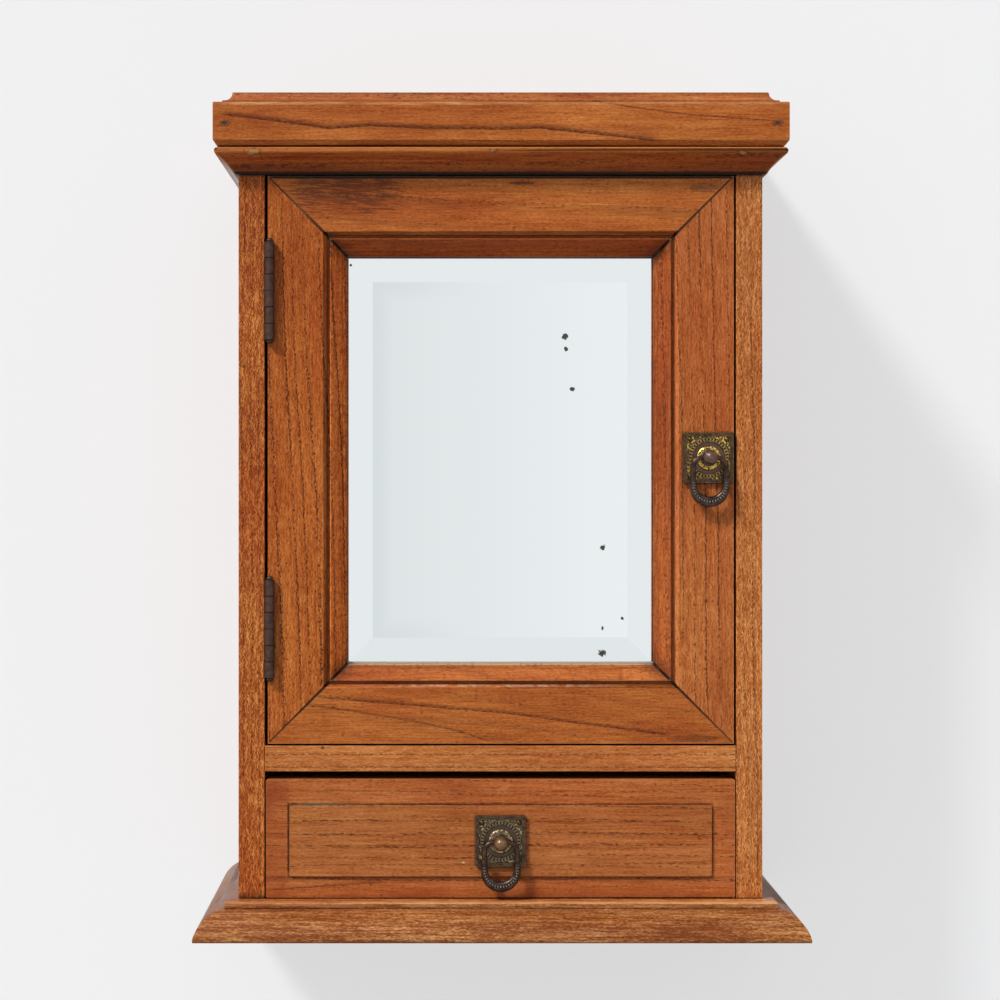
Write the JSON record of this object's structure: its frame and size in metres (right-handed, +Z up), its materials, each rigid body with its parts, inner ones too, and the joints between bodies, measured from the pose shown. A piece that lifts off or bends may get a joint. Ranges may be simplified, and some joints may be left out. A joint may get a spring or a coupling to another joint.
{
  "type": "medicine cabinet",
  "caption": "Wall medicine cabinet in oiled wood: hinged door with a bevelled mirror over a drawer, between a moulded cornice and base.",
  "frame": {"origin": "floor plane under the middle of the overall box", "axes": "+X to the right seen from the front, +Y from the front to the wall, +Z up"},
  "size_m": [0.37, 0.185, 0.5128],
  "materials": {
    "oiled_wood": "oiled open-pored hardwood, orange brown, worn",
    "plain_wood": "planed, unfinished wood",
    "dark_iron": "dark brown oxidised iron",
    "aged_brass": "aged brass, dark in the hollows and bright on the ridges",
    "dark_bronze": "dark bronzed brass, rubbed on the high spots",
    "plain_steel": "plain steel",
    "mirror": "bevelled silvered glass with small dark spots"
  },
  "bodies": {
    "cabinet": {"base_board": "oiled_wood", "left_side": "oiled_wood", "right_side": "oiled_wood", "divider_shelf": "oiled_wood", "top_board": "oiled_wood", "hanging_rail": "plain_wood", "back_board_left": "plain_wood", "back_board_middle": "plain_wood", "back_board_right": "plain_wood", "crown_front": "oiled_wood", "crown_left": "oiled_wood", "crown_right": "oiled_wood", "fascia_front": "oiled_wood", "fascia_left": "oiled_wood", "fascia_right": "oiled_wood", "cap_board": "oiled_wood", "lower_shelf": "plain_wood", "upper_shelf": "plain_wood", "shelf_battens": "plain_wood", "door_stop": "plain_wood", "drawer_stops": "plain_wood", "base_screws": "plain_steel", "cornice_nails": "dark_iron", "cap_nails": "dark_iron", "back_nails": "dark_iron", "strike_plate": "aged_brass", "strike_screws": "aged_brass", "upper_hinge_fixed_leaf": "dark_iron", "lower_hinge_fixed_leaf": "dark_iron", "upper_hinge_pin": "dark_iron", "lower_hinge_pin": "dark_iron", "hinge_side_screws": "dark_iron"},
    "door": {"door_stile_hinge": "oiled_wood", "door_stile_catch": "oiled_wood", "door_rail_top": "oiled_wood", "door_rail_bottom": "oiled_wood", "mitre_keys": "plain_wood", "mirror_glass": "mirror", "mirror_backing": "plain_wood", "mirror_brads": "dark_iron", "upper_hinge_door_leaf": "dark_iron", "lower_hinge_door_leaf": "dark_iron", "hinge_door_screws": "dark_iron", "catch_tube": "aged_brass", "catch_spring": "plain_steel", "door_pull_plate": "aged_brass", "door_pull_post": "dark_bronze", "door_pull_pins": "aged_brass"},
    "drawer": {"drawer_front": "oiled_wood", "drawer_side_left": "plain_wood", "drawer_side_right": "plain_wood", "drawer_back": "plain_wood", "drawer_bottom": "plain_wood", "drawer_pull_plate": "aged_brass", "drawer_pull_post": "dark_bronze", "drawer_pull_pins": "aged_brass"},
    "catch_ball": {"catch_ball": "plain_steel"},
    "door_bail": {"door_pull_bail": "dark_bronze"},
    "drawer_bail": {"drawer_pull_bail": "dark_bronze"}
  },
  "joints": [
    {"name": "door_hinge", "type": "hinge", "parent": "cabinet", "child": "door", "pos_m": [-0.1407, -0.0647, 0.28895], "axis": [0, 0, -1], "range_deg": [0, 170]},
    {"name": "drawer_slide", "type": "slide", "parent": "cabinet", "child": "drawer", "axis": [0, -1, 0], "range_m": [0, 0.1]},
    {"name": "door_bail_swing", "type": "hinge", "parent": "door", "child": "door_bail", "pos_m": [0.127, -0.0681, 0.2901], "axis": [-1, 0, 0], "range_deg": [-6, 150]},
    {"name": "drawer_bail_swing", "type": "hinge", "parent": "drawer", "child": "drawer_bail", "pos_m": [0, -0.0696, 0.0564], "axis": [-1, 0, 0], "range_deg": [-6, 150]},
    {"name": "catch_press", "type": "slide", "parent": "door", "child": "catch_ball", "axis": [-1, 0, 0], "range_m": [0, 0.0017], "stiffness_N_per_m": 400, "deforming": ["catch_spring"]}
  ]
}
